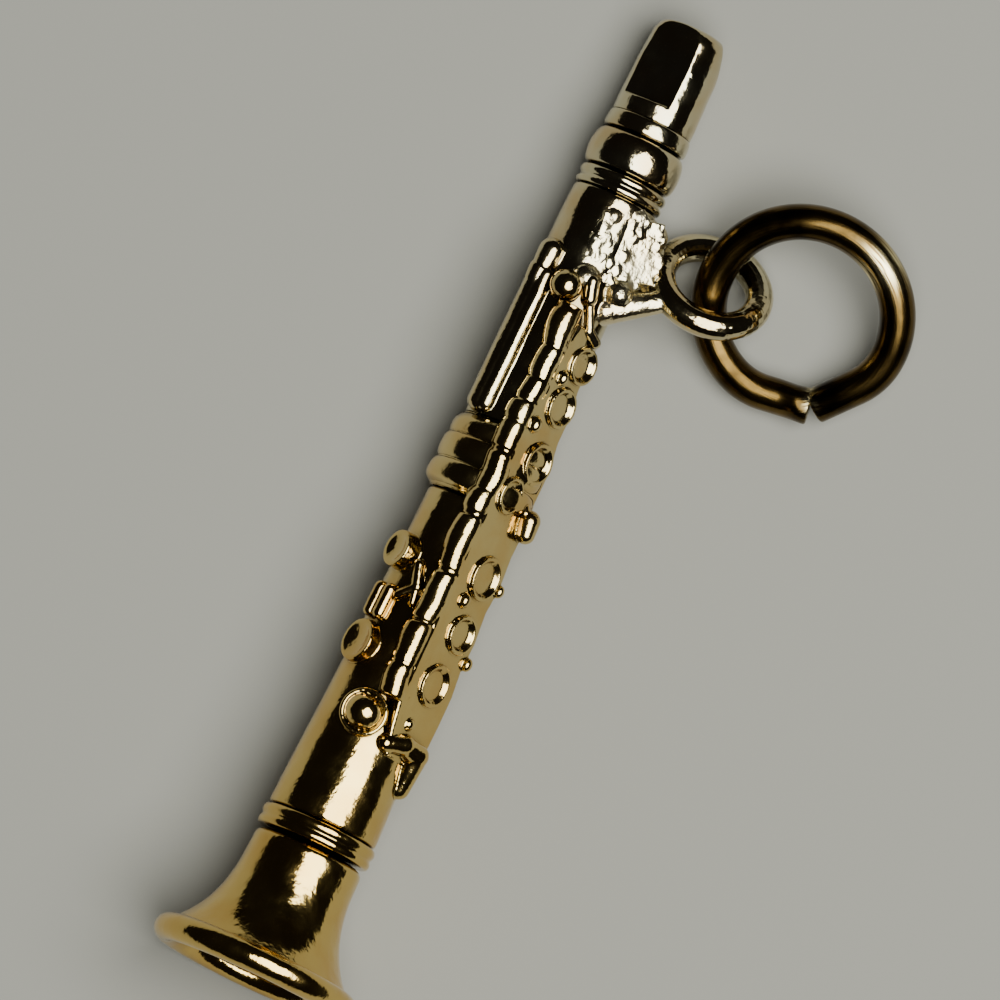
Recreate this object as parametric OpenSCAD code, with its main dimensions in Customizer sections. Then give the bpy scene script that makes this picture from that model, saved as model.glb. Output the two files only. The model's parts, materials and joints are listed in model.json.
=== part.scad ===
// A cast clarinet charm with a soldered bail ring and a loose jump ring.
// The casting is drawn along X from the mouthpiece tip, with its keys facing up and the
// bail at +Y, and is then laid on its back so that its bell rim, barrel and bail rest on Z = 0.

/* [Casting] */
// Radius of the mouthpiece
mouthpiece_r = 1.2; // [1.1:0.05:1.3]
// Length of the mouthpiece
mouthpiece_len = 2.85; // [2.6:0.05:3.0]
// Depth of the flat beak below the round of the mouthpiece
beak_depth = 0.26; // [0.15:0.01:0.35]
// Turn of the flat beak round the axis, from the key side towards -Y
beak_turn = 26; // [0:1:45]
// Radius of the barrel at the middle of its bulge
barrel_r = 1.39; // [1.38:0.01:1.42]
// Radius of the tube at the top of the upper joint
upper_r = 1.26; // [1.2:0.01:1.32]
// Radius of the tube at the middle of the clarinet
middle_r = 1.3; // [1.25:0.01:1.35]
// Radius of the tube just above the bell
lower_r = 1.62; // [1.5:0.01:1.7]
// Largest radius of the middle collar
collar_r = 1.57; // [1.5:0.01:1.6]
// Radius of the bell at its outer edge
bell_r = 3.03; // [2.8:0.01:3.2]
// Thickness of the rounded bell rim
rim_t = 0.8; // [0.6:0.05:0.9]
// Position of the bell rim along the clarinet
rim_x = 28.6; // [28:0.1:29]
// Depth of the hollow in the bell
bell_hollow = 2.6; // [2:0.1:3]

/* [Keys] */
// Outer radius of the tone hole cups
cup_r = 0.56; // [0.5:0.01:0.6]
// Thickness of the rolled rim of a cup
cup_rim_t = 0.2; // [0.16:0.02:0.24]
// Height of the cup rims above the tube
cup_rise = 0.24; // [0.15:0.01:0.3]
// Radius of the swells on the long key rod
bead_r = 0.36; // [0.32:0.01:0.38]
// Turn of the side rod round the axis, towards -Y
side_turn = 50; // [45:1:55]

// Turn of the flat key bed round the axis, towards +Y
bed_turn = 50; // [46:1:54]
// Height of the key bed above the axis at its upper end
bed_h = 1.39; // [1.36:0.01:1.42]
// Slope of the key bed along the clarinet
bed_slope = 0.75; // [0.5:0.05:1]
// Height of the long key rod's middle above the axis at its upper end
rod_h = 1.4; // [1.38:0.01:1.44]
// Distance of the long key rod from the top of the tube, towards +Y
rod_y = 0.12; // [0:0.01:0.15]
// Slope of the long key rod along the clarinet
rod_slope = 0.8; // [0.6:0.05:1]

/* [Rings] */
// Wire thickness of the bail ring
bail_wire = 0.8; // [0.7:0.05:0.8]
// Outer diameter of the bail ring
bail_od = 3.64; // [3.6:0.02:3.7]
// Tilt of the bail ring, with its bell side raised
bail_tilt = 38; // [37:1:39]
// Wire thickness of the jump ring
jump_wire = 1.02; // [0.9:0.02:1.02]
// Outer diameter of the jump ring
jump_od = 6.26; // [6.2:0.02:6.4]
// Tilt of the jump ring, with its mouthpiece side raised
jump_tilt = 24; // [23:1:25]
// Width of the cut in the jump ring
jump_gap = 0.12; // [0.05:0.01:0.2]

/* [Hidden] */
$fn = 64;

// Stations along the axis
band_x = mouthpiece_len;
barrel_x = 3.4;
barrel_ring_x = 4.55;
upper_x = 5.15;
collar_x = 12.25;
lower_x = 14.5;
bell_ring_x = 24.3;
bell_x = 24.95;
bed_x = 9;

// The barrel's rounded bulge and the bell's rounded rim, which the charm lies on
barrel_bulge_r = 0.55;
barrel_mid_x = (barrel_x + barrel_ring_x) / 2;
barrel_mid_r = barrel_r - barrel_bulge_r;
rim_section_r = rim_t / 2;
rim_mid_r = bell_r - rim_section_r;

// How the charm lies: pitched so that the barrel and the rim both reach Z = 0
run = rim_x - barrel_mid_x;
climb = rim_mid_r - barrel_mid_r;
pitch = atan(climb / run) - asin((barrel_bulge_r - rim_section_r) / norm([run, climb]));
lift = rim_section_r + rim_mid_r * cos(pitch) - rim_x * sin(pitch);

// Bail ring: its centre is low enough for its lowest wire to rest on Z = 0 too
bail_mid_r = (bail_od - bail_wire) / 2;
bail_x = 6.2;
bail_y = 3.38;
bail_z = (bail_wire / 2 - lift + bail_mid_r * sin(bail_tilt + pitch) - bail_x * sin(pitch)) / cos(pitch);

// Jump ring: threaded through the bail, with its bell side resting on Z = 0
jump_mid_r = (jump_od - jump_wire) / 2;
jump_x = 5.78;
jump_y = 6;
jump_rest = 0.01;
jump_turn = 30;
jump_round = 140;
jump_end_slope = 21;
jump_low_r = jump_mid_r * cos(180 - jump_turn - jump_round);
jump_z = (jump_wire / 2 + jump_rest - lift + jump_low_r * sin(jump_tilt - pitch) - jump_x * sin(pitch)) / cos(pitch);

// The frame's origin is under the middle of the whole object
front_x = rim_x * cos(pitch) + rim_mid_r * sin(pitch) + rim_section_r;
back_x = -0.052;
mid_x = (front_x + back_x) / 2;
mid_y = (jump_y + jump_mid_r + jump_wire / 2 - bell_r) / 2;

gold = "#c9a24a";
pale_gold = "#cdb67a";
brass = "#8a6a2c";

// Radius of the bare tube at a place along it
function tube_r(x) = x < collar_x
    ? upper_r + (middle_r - upper_r) * (x - upper_x) / (collar_x - upper_x)
    : middle_r + (lower_r - middle_r) * pow(max(0, x - lower_x) / (bell_ring_x - lower_x), 1.5);

// Lays a piece, drawn along X from the mouthpiece tip, in the frame
module laid() translate([-mid_x, -mid_y, lift]) rotate([0, -pitch, 0]) children();

// Turns a profile of [radius, place] round the X axis
module turned() rotate([0, 90, 0]) rotate_extrude() children();

// Puts a piece at a place along the tube, turned round it, with Z pointing outwards
module round_tube(x, turn, r) translate([x, 0, 0]) rotate([-turn, 0, 0]) translate([0, 0, r]) children();

// A ring of round wire about Z
module ring(mid_r, wire) rotate_extrude() translate([mid_r, 0]) circle(d = wire, $fn = 32);

// A straight bar with round ends from one point to another
module bar(from, to, r) {
    d = to - from;
    translate(from) sphere(r = r, $fn = 32);
    translate(to) sphere(r = r, $fn = 32);
    translate(from)
        rotate([0, acos(d.z / norm(d)), atan2(d.y, d.x)])
            cylinder(h = norm(d), r = r, $fn = 32);
}

// The bare shapes that the keys are fitted to
module upper_tube() turned()
    polygon([[0, upper_x], [upper_r, upper_x], [middle_r, collar_x], [0, collar_x]]);

module lower_tube(grow = 0) {
    steps = 12;
    turned() polygon(concat(
        [[0, lower_x]],
        [for (i = [0:steps]) let (x = lower_x + (bell_ring_x - lower_x) * i / steps) [tube_r(x) + grow, x]],
        [[0, bell_ring_x]]));
}

module collar_shape() difference() {
    collar_rings();
    difference() {
        bed_plan(1.4);
        rotate([0, 90, 0]) cylinder(r = middle_r, h = lower_x + 0.1);
    }
}

module collar_rings() turned() polygon([
    [0, collar_x], [middle_r + 0.03, collar_x], [middle_r + 0.03, 12.4], [collar_r - 0.12, 12.46],
    [collar_r - 0.08, 12.55], [collar_r - 0.08, 12.83], [collar_r - 0.14, 12.9],
    [collar_r - 0.05, 12.98], [collar_r - 0.02, 13.1], [collar_r - 0.02, 13.54], [collar_r - 0.1, 13.66],
    [collar_r - 0.02, 13.77], [collar_r, 13.9], [collar_r, 14.2], [collar_r - 0.06, 14.33],
    [middle_r + 0.04, 14.42], [middle_r + 0.02, lower_x], [0, lower_x]]);

// Puts a piece on the flat top of the key bed, at a place along it and across it
module on_bed(x, across) rotate([-bed_turn, 0, 0]) translate([bed_x, 0, bed_h]) rotate([0, -bed_slope, 0])
    translate([x - bed_x, across, 0]) children();

// The outline of the key bed, drawn through a height that ends at its flat top, or above it
module bed_plan(height) on_bed(bed_x, 0) translate([0, 0, -0.7]) linear_extrude(height = height)
    polygon([[0, -0.45], [1, -0.85], [4, -0.95], [11, -0.95], [12, -0.5],
             [12, 0.75], [11, 1], [4, 0.8], [1, 0.52], [0, 0.35]]);

// The flat raised strip on the bail's side that carries the tone hole cups
module bed_shape() difference() {
    bed_plan(0.7);
    upper_tube();
    lower_tube(0.004);
    rotate([0, 90, 0]) cylinder(r = middle_r, h = lower_x + 0.1);
}

// A key casting with the tube's own shape taken out of its underside
module fitted(grow = 0) difference() {
    union() children();
    upper_tube();
    lower_tube(grow);
    collar_shape();
    bed_shape();
}

// A cup with a rolled rim and a dished middle, standing on the tube
module cup(x, turn, r = cup_r, rise = cup_rise) {
    foot = 0.5;
    dish = 0.1;
    rim_r = r - cup_rim_t / 2;
    top = rise - cup_rim_t / 2;
    fitted() round_tube(x, turn, tube_r(x)) difference() {
        union() {
            translate([0, 0, -foot]) cylinder(r = r, h = foot + top, $fn = 48);
            translate([0, 0, top]) ring(rim_r, cup_rim_t);
        }
        translate([0, 0, top - dish]) cylinder(r = rim_r - 0.04, h = dish + cup_rim_t, $fn = 48);
    }
}

module mouthpiece() color(pale_gold) laid() {
    tip_r = 0.45;
    waist_r = mouthpiece_r - 0.06;
    flat_len = mouthpiece_len - 0.25;
    slope = 3;
    difference() {
        turned() union() {
            square([mouthpiece_r - tip_r, tip_r]);
            translate([mouthpiece_r - tip_r - 0.12, tip_r]) circle(r = tip_r);
            polygon([
                [0, tip_r], [mouthpiece_r - 0.12, tip_r], [mouthpiece_r, 1.3],
                [mouthpiece_r, 2.3], [waist_r, mouthpiece_len], [0, mouthpiece_len]
            ]);
        }
        rotate([beak_turn, 0, 0]) translate([flat_len, 0, mouthpiece_r - beak_depth])
            rotate([0, -slope, 0]) translate([-flat_len * 2, -2, 0]) cube([flat_len * 2, 4, 2]);
        translate([-1, -2, -2]) cube([1, 4, 4]);
    }
}

module reed_band() color(pale_gold) laid() turned() union() {
    translate([0, band_x]) square([mouthpiece_r - 0.02, barrel_x - band_x]);
    translate([mouthpiece_r - 0.2, (band_x + barrel_x) / 2]) circle(d = barrel_x - band_x - 0.04);
}

module barrel() color(pale_gold) laid() turned() intersection() {
    translate([0, barrel_x]) square([2, barrel_ring_x - barrel_x]);
    union() {
        translate([0, barrel_x]) square([1.16, barrel_ring_x - barrel_x]);
        translate([barrel_mid_r, barrel_mid_x]) circle(r = barrel_bulge_r);
    }
}

module barrel_ring() color(pale_gold) laid() turned() {
    bead = (upper_x - barrel_ring_x) / 2;
    intersection() {
        translate([0, barrel_ring_x]) square([2, upper_x - barrel_ring_x]);
        union() {
            translate([0, barrel_ring_x]) square([1.2, upper_x - barrel_ring_x]);
            for (i = [0:1]) translate([1.2, barrel_ring_x + bead * (i + 0.5)]) circle(d = bead);
        }
    }
}

module upper_joint() color(pale_gold) laid() upper_tube();

module middle_collar() color(gold) laid() collar_shape();

module lower_joint() color(gold) laid() lower_tube();

module bell_ring() color(gold) laid() turned() {
    bead = (bell_x - bell_ring_x) / 2;
    intersection() {
        translate([0, bell_ring_x]) square([2, bell_x - bell_ring_x]);
        union() {
            translate([0, bell_ring_x]) square([lower_r - 0.02, bell_x - bell_ring_x]);
            for (i = [0:1]) translate([lower_r - 0.06, bell_ring_x + bead * (i + 0.5)]) circle(d = bead);
        }
    }
}

module rim_shape() rotate([0, 90, 0]) translate([0, 0, rim_x]) ring(rim_mid_r, rim_t);

module bell() color(gold) laid() difference() {
    steps = 14;
    wall = 0.42;
    flare = 3.2;
    throat = rim_x - bell_hollow;
    turned() polygon(concat(
        [for (i = [0:steps]) let (t = i / steps)
            [lower_r - 0.02 + (rim_mid_r - lower_r + 0.2) * pow(t, flare), bell_x + (rim_x - bell_x) * t]],
        [for (i = [0:steps]) let (t = 1 - i / steps)
            [0.75 + (rim_mid_r - wall - 0.75) * pow(t, 2), throat + bell_hollow * t]],
        [[0, throat], [0, bell_x]]));
    rim_shape();
}

module bell_rim() color(gold) laid() rim_shape();

module key_bed() color(gold) laid() bed_shape();

// One stretch of the long rod, round at both ends, between two notches
module swell(a, b) {
    translate([0, a + bead_r]) circle(r = bead_r, $fn = 32);
    translate([0, b - bead_r]) circle(r = bead_r, $fn = 32);
    translate([0, a + bead_r]) square([bead_r * 0.97, max(0.02, b - a - 2 * bead_r)]);
}

// The long rod is one turned piece, notched across at uneven spacings
module key_rod() color(gold) laid() fitted(0.008) {
    core_r = bead_r - 0.06;
    from_x = 8.5;
    to_x = 20.4;
    notches = [8.74, 9.77, 10.7, 11.41, 12.06, 12.97, 14.14, 14.9, 16.63, 18.18, 19.46, to_x];
    translate([from_x, rod_y, rod_h]) rotate([0, 90 - rod_slope, 0]) rotate_extrude($fn = 48) intersection() {
        square([1, to_x - from_x]);
        union() {
            square([core_r, to_x - from_x]);
            for (i = [0:len(notches) - 2]) swell(notches[i] - from_x, notches[i + 1] - from_x);
        }
    }
}

module key_rod_ball() color(gold) laid() difference() {
    round_tube(8.05, -10, tube_r(8) + 0.1) sphere(r = 0.5);
    upper_tube();
    translate([8.5, rod_y, rod_h]) rotate([0, 90 - rod_slope, 0]) cylinder(r = 0.5, h = 1);
}

module low_cup() color(gold) laid() difference() {
    cup(21.1, -10, 0.68, 0.24);
    low_ball();
    translate([20, rod_y, rod_h]) rotate([0, 90 - rod_slope, 0]) cylinder(r = 0.4, h = 0.4);
}

// The ball that fills the low cup
module low_ball() round_tube(21.1, -10, tube_r(21.1) + 0.04) sphere(r = 0.54);

module low_cup_ball() color(gold) laid() difference() {
    low_ball();
    lower_tube();
    translate([20, rod_y, rod_h]) rotate([0, 90 - rod_slope, 0]) cylinder(r = 0.4, h = 0.4);
}

// Two slim rods side by side
module side_rod() color(pale_gold) laid() fitted() {
    ridge_r = 0.2;
    for (side = [-1, 1]) rotate([side_turn + side * 9, 0, 0])
        bar([8.1, 0, 1.36], [11.95, 0, 1.42], ridge_r);
    rotate([side_turn, 0, 0]) translate([8.1, -0.2, 1.2]) cube([3.85, 0.4, 0.22]);
}

module side_rod_knob() color(pale_gold) laid() difference() {
    rotate([side_turn - 3, 0, 0]) union() {
        bar([7.25, 0, 1.34], [7.75, 0, 1.38], 0.42);
    }
    upper_tube();
    rotate([side_turn, 0, 0]) translate([7.89, -1, 0]) cube([4.2, 2, 3]);
}

// A tone hole cup: a low disc with a rolled rim, standing on the key bed
module tone_cup(x, across, r) on_bed(x, across) difference() {
    floor_h = 0.05;
    rim_h = 0.07;
    union() {
        cylinder(r = r, h = rim_h, $fn = 48);
        translate([0, 0, rim_h]) ring(r - cup_rim_t / 2, cup_rim_t);
    }
    translate([0, 0, floor_h]) cylinder(r = r - cup_rim_t / 2 - 0.04, h = 1, $fn = 48);
    translate([0, 0, -0.5]) cube([3, 3, 1], center = true);
}

module tone_cup_1() color(gold) laid() tone_cup(9.83, 0.1, 0.52);
module tone_cup_2() color(gold) laid() tone_cup(11.15, -0.04, cup_r);
module tone_cup_3() color(gold) laid() tone_cup(12.82, 0.02, cup_r + 0.02);
module tone_cup_4() color(gold) laid() tone_cup(13.95, -0.45, 0.48);
module tone_cup_5() color(gold) laid() tone_cup(16.3, 0.06, cup_r + 0.04);
module tone_cup_6() color(gold) laid() tone_cup(17.98, 0.14, cup_r);
module tone_cup_7() color(gold) laid() tone_cup(19.58, 0, cup_r + 0.02);

// A solid pad leaning out over the side of the bed
module trill_pad() color(gold) laid() on_bed(14.5, 0.66) difference() {
    translate([-0.2, 0, 0]) bar([0, 0, 0.04], [0.4, 0, 0.04], 0.32);
    translate([0, 0, -0.5]) cube([3, 3, 1], center = true);
}

// Five small beads between the cups and along the bed's outer edge
module edge_beads() color(gold) laid()
    for (b = [[10.42, -0.5, 0.16], [11.92, -0.7, 0.17], [17.12, -0.36, 0.17], [16.2, 0.82, 0.2], [18.5, 0.86, 0.18]])
        on_bed(b.x, b.y) difference() {
            translate([0, 0, 0.04]) sphere(r = b.z, $fn = 32);
            translate([0, 0, -0.5]) cube([3, 3, 1], center = true);
        }

module throat_key() color(pale_gold) laid() fitted() union() {
    bar([7.65, 0.36, 1.26], [8.1, 0.5, 1.24], 0.26);
    bar([8.1, 0.5, 1.24], [8.95, 0.9, 1.06], 0.17);
    bar([8.9, 0.86, 1.06], [9.1, 1.16, 0.82], 0.2);
}

module throat_beads() color(pale_gold) laid() difference() {
    fitted() union() {
        round_tube(8.06, 56, tube_r(8) + 0.1) sphere(r = 0.24, $fn = 32);
        round_tube(7.63, 60, tube_r(8) + 0.1) sphere(r = 0.24, $fn = 32);
    }
    solder_shape();
}

module left_cup() color(gold) laid() cup(16.64, -46, 0.54, 0.3);

module left_lever() color(gold) laid() difference() {
    fitted() union() {
        bar([16.75, -0.62, 1.26], [17.35, -0.42, 1.34], 0.18);
        bar([17.35, -0.42, 1.34], [17.75, -0.8, 1.18], 0.16);
    }
    cup(16.64, -46, 0.6, 0.8);
    translate([16, 0, 1.56]) rotate([0, 90, 0]) cylinder(r = 0.33, h = 3);
}

module left_bar() color(gold) laid() fitted() for (side = [-1, 1])
    rotate([54 + side * 9, 0, 0]) bar([17.75, 0, 1.46], [18.45, 0, 1.5], 0.2);

module left_low_cup() color(gold) laid() cup(19.3, -46, 0.62, 0.26);

// The curled touch at the foot of the keys
module foot_key() color(gold) laid() difference() {
    union() {
        round_tube(21.55, 25, tube_r(21.5) + 0.06) sphere(r = 0.32, $fn = 32);
        round_tube(21.42, 46, tube_r(21.5) + 0.04) sphere(r = 0.34, $fn = 32);
        round_tube(21.6, 68, tube_r(21.5) + 0.02) sphere(r = 0.38, $fn = 32);
        round_tube(22.25, 74, tube_r(22.2)) sphere(r = 0.36, $fn = 32);
    }
    lower_tube();
    bed_shape();
    round_tube(21.1, -10, 1) cylinder(r = 0.7, h = 2);
}

module bail_shape() translate([bail_x, bail_y, bail_z]) rotate([0, -bail_tilt, 0]) ring(bail_mid_r, bail_wire);

// Solder has run from the top of the tube down to the foot of the bail and frozen in a rough ramp
module solder_shape() difference() {
    union() {
        rotate([-20, 0, 0]) translate([5.45, -0.5, 0.5]) cube([1.85, 1.9, 0.74]);
        translate([bail_x, 0.9, bail_z + 0.06]) rotate([-90, 0, 0]) cylinder(r1 = 0.95, r2 = 0.5, h = 0.95, $fn = 48);
    }
    upper_tube();
    bail_shape();
}

module bail_ring() color(pale_gold) laid() bail_shape();

module bail_solder() color(pale_gold) laid() solder_shape();

// The straight end of the jump ring's wire, from where the round stops to the cut
module jump_end() {
    elbow = 0.012;
    end_len = (jump_mid_r * sin(jump_round) - jump_gap / 2) / cos(jump_end_slope);
    translate([jump_mid_r * sin(jump_round), jump_mid_r * cos(jump_round), 0]) {
        sphere(d = jump_wire + elbow);
        rotate([0, -90, jump_end_slope]) cylinder(d = jump_wire, h = end_len);
    }
}

module jump_ring() color(brass) laid()
    translate([jump_x, jump_y, jump_z]) rotate([0, jump_tilt, 0]) rotate([0, 0, 90 + jump_turn]) {
        rotate([0, 0, 90 - jump_round]) rotate_extrude(angle = 2 * jump_round)
            translate([jump_mid_r, 0]) circle(d = jump_wire, $fn = 32);
        jump_end();
        mirror([1, 0, 0]) jump_end();
    }

mouthpiece();
reed_band();
barrel();
barrel_ring();
upper_joint();
middle_collar();
lower_joint();
bell_ring();
bell();
bell_rim();
key_bed();
key_rod();
key_rod_ball();
low_cup();
low_cup_ball();
side_rod();
side_rod_knob();
tone_cup_1();
tone_cup_2();
tone_cup_3();
tone_cup_4();
tone_cup_5();
tone_cup_6();
tone_cup_7();
trill_pad();
edge_beads();
throat_key();
throat_beads();
left_cup();
left_lever();
left_bar();
left_low_cup();
foot_key();
bail_ring();
bail_solder();
jump_ring();
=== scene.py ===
# A clarinet charm: a gold casting with its keys in relief, a bail soldered to its side, and a
# loose brass jump ring. It lies on its back on a pale floor, as it would on a jeweller's table.
import bpy, bmesh, json, math
from mathutils import Matrix, Vector, noise


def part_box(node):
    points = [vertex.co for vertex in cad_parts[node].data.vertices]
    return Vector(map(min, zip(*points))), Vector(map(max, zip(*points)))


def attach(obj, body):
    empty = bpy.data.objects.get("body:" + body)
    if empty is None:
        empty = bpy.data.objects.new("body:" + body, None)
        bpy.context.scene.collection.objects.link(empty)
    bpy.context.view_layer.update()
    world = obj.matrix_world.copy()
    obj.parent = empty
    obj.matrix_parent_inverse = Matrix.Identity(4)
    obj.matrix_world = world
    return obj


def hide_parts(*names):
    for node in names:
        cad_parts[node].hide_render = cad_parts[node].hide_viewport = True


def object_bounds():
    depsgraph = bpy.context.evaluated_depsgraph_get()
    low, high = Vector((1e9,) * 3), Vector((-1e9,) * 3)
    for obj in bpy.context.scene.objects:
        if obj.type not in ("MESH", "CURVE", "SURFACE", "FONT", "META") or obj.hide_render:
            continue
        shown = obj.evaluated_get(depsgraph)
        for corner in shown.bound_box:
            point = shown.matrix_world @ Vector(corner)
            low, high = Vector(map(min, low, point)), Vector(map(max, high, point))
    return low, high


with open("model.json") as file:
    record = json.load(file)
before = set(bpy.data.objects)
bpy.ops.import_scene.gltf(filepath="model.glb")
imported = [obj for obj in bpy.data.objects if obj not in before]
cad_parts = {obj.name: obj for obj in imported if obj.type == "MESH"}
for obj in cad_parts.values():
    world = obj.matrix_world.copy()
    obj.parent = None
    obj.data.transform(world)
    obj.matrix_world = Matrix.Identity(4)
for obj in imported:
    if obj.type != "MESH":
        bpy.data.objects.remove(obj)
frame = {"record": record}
cad_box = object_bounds()


# ---- The casting's own axes ----
# The clarinet is one lost-wax casting. It is drawn in millimetres along X from the mouthpiece
# tip, with the keys on +Z and the bail on +Y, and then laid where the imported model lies.
def middle_of(node):
    low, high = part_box(node)
    return (Vector(low) + Vector(high)) / 2


rim_place = 28.6
along = (middle_of("bell_rim") - middle_of("upper_joint")).normalized()
outwards = Vector((0, 1, 0))
upwards = along.cross(outwards)
tip_place = middle_of("bell_rim") - along * rim_place * 0.001
LAID = Matrix.Translation(tip_place) @ Matrix((along, outwards, upwards)).transposed().to_4x4() \
    @ Matrix.Scale(0.001, 4)

# ---- Mouthpiece ----
# The mouthpiece is cast with a flat reed facing the keys' left, a sloping beak on the bail's
# side and a blunt tip. Polishing has rounded every edge but the one along the reed.
mouthpiece_r = 1.15
reed_turn = math.radians(27)
band_x = 2.85


def gold(name, pale, rich, roughness, peel, tarnish_and_shade=0.75):
    """A polished gold alloy, paler at the mouthpiece and yellower at the bell.

    The cast skin keeps a fine orange peel, and its recesses get painted shade: the base colour darkens where
    ambient occlusion finds a hollow.
    """
    material = bpy.data.materials.new(name)
    material.use_nodes = True
    tree = material.node_tree
    add, link = tree.nodes.new, tree.links.new
    shader = tree.nodes["Principled BSDF"]
    shader.inputs["Metallic"].default_value = 1.0
    place = add("ShaderNodeTexCoord").outputs["Object"]

    def speckle(scale, detail=3.0):
        texture = add("ShaderNodeTexNoise")
        texture.inputs["Scale"].default_value = scale
        texture.inputs["Detail"].default_value = detail
        link(place, texture.inputs["Vector"])
        return texture.outputs["Fac"]

    def between(value, low, high, out_low, out_high):
        spread = add("ShaderNodeMapRange")
        limits = {"From Min": low, "From Max": high, "To Min": out_low, "To Max": out_high}
        for socket, number in limits.items():
            spread.inputs[socket].default_value = number
        link(value, spread.inputs["Value"])
        return spread.outputs["Result"]

    def blended(amount, first, second):
        mix = add("ShaderNodeMix")
        mix.data_type = "RGBA"
        for socket, value in zip((mix.inputs[0], mix.inputs[6], mix.inputs[7]), (amount, first, second)):
            if isinstance(value, (tuple, float)):
                socket.default_value = value
            else:
                link(value, socket)
        return mix.outputs[2]

    split = add("ShaderNodeSeparateXYZ")
    link(place, split.inputs["Vector"])
    down = between(split.outputs["X"], cad_box[0][0] * 0.9, cad_box[1][0] * 0.7, 0.0, 1.0)
    colour = blended(down, (*pale, 1), (*rich, 1))
    patchy = between(speckle(700, 5), 0.42, 0.68, 0.0, 0.55)
    colour = blended(patchy, colour, (rich[0] * 0.86, rich[1] * 0.68, rich[2] * 0.5, 1))
    # Painted shade: the base colour turns near black in recesses found by ambient occlusion.
    recess = add("ShaderNodeAmbientOcclusion")
    recess.samples = 6
    recess.inputs["Distance"].default_value = 0.0004
    painted_recess_shade = between(recess.outputs["AO"], 0.35, 0.85, tarnish_and_shade, 0.0)
    colour = blended(painted_recess_shade, colour, (0.045, 0.028, 0.012, 1))
    link(colour, shader.inputs["Base Color"])
    wear_and_shine = between(speckle(1500, 4), 0.35, 0.7, roughness * 0.7, roughness * 1.5)
    link(wear_and_shine, shader.inputs["Roughness"])
    fine, coarse = add("ShaderNodeBump"), add("ShaderNodeBump")
    fine.inputs["Strength"].default_value = 0.6
    fine.inputs["Distance"].default_value = 0.000005 * peel
    link(speckle(9000, 2), fine.inputs["Height"])
    coarse.inputs["Strength"].default_value = 0.8
    coarse.inputs["Distance"].default_value = 0.000032 * peel
    link(speckle(2200, 3), coarse.inputs["Height"])
    link(coarse.outputs["Normal"], fine.inputs["Normal"])
    link(fine.outputs["Normal"], shader.inputs["Normal"])
    return material


def turned_body(bm, profile):
    """Spins a profile of (place, radius) round the casting's axis."""
    verts = [bm.verts.new((x, 0, r)) for x, r in profile]
    edges = [bm.edges.new(pair) for pair in zip(verts, verts[1:])]
    bmesh.ops.spin(bm, geom=verts + edges, cent=(0, 0, 0), axis=(1, 0, 0), dvec=(0, 0, 0),
                   angle=math.tau, steps=64, use_merge=True, use_duplicate=False)
    bmesh.ops.remove_doubles(bm, verts=bm.verts[:], dist=1e-5)
    bmesh.ops.recalc_face_normals(bm, faces=bm.faces[:])


def worked(name, bm, stages):
    """Makes a mesh of bm, runs the given modifiers over it, and returns the finished mesh."""
    mesh = bpy.data.meshes.new(name)
    bm.to_mesh(mesh)
    bm.free()
    rough = bpy.data.objects.new(name + " rough", mesh)
    bpy.context.scene.collection.objects.link(rough)
    for kind, settings in stages:
        modifier = rough.modifiers.new(kind, kind)
        for key, value in settings.items():
            setattr(modifier, key, value)
    bpy.context.view_layer.update()
    finished = bpy.data.meshes.new_from_object(rough.evaluated_get(bpy.context.evaluated_depsgraph_get()))
    bpy.data.objects.remove(rough)
    return finished


def difference(tool, solver="MANIFOLD"):
    return "BOOLEAN", {"operation": "DIFFERENCE", "object": tool, "solver": solver}


def hidden_tool(name, bm):
    """A body that only cuts others. It is removed when the casting is done."""
    mesh = bpy.data.meshes.new(name)
    bm.to_mesh(mesh)
    bm.free()
    tool = bpy.data.objects.new(name, mesh)
    bpy.context.scene.collection.objects.link(tool)
    tool.hide_render = True
    return tool


def cast_skin(mesh, wave=0.012, ripple=0.005):
    """Lets the surface wander a few microns, as the skin of a small casting does."""
    normals = [v.normal.copy() for v in mesh.vertices]
    for v, normal in zip(mesh.vertices, normals):
        v.co += normal * (wave * noise.noise(v.co * 0.85)
                          + ripple * noise.noise(v.co * 3.1 + Vector((7, 3, 5))))


def seated(name, mesh, material, nodes, body="charm", place=LAID):
    """Lays a finished mesh in the frame as the piece that stands for those CAD nodes."""
    mesh.transform(place)
    for polygon in mesh.polygons:
        polygon.use_smooth = True
    mesh.materials.clear()
    mesh.materials.append(material)
    mesh.name = name
    piece = bpy.data.objects.new(name, mesh)
    bpy.context.scene.collection.objects.link(piece)
    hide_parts(*nodes)
    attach(piece, body)
    return piece


PALE_GOLD = gold("pale cast gold", (0.60, 0.56, 0.39), (0.64, 0.51, 0.23), 0.1, 0.9)

body = bmesh.new()
turned_body(body, [(-0.03, 0), (-0.03, 0.74), (0.03, 0.9), (0.14, 1.0), (0.34, 1.08), (1.2, mouthpiece_r),
                   (2.5, mouthpiece_r + 0.03), (band_x + 0.02, mouthpiece_r + 0.02), (band_x + 0.05, 0)])
reed_cut = bmesh.new()
bmesh.ops.create_cube(reed_cut, size=2)
bmesh.ops.scale(reed_cut, vec=(2.0, 2.0, 0.5), verts=reed_cut.verts[:])
bmesh.ops.translate(reed_cut, vec=(0.42, 0, 0.5 + 0.82), verts=reed_cut.verts[:])
bmesh.ops.rotate(reed_cut, matrix=Matrix.Rotation(math.radians(-2), 3, "Y"), verts=reed_cut.verts[:])
bmesh.ops.rotate(reed_cut, matrix=Matrix.Rotation(reed_turn, 3, "X"), verts=reed_cut.verts[:])
beak_cut = bmesh.new()
bmesh.ops.create_cube(beak_cut, size=2)
bmesh.ops.scale(beak_cut, vec=(2.0, 0.5, 2.0), verts=beak_cut.verts[:])
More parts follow.
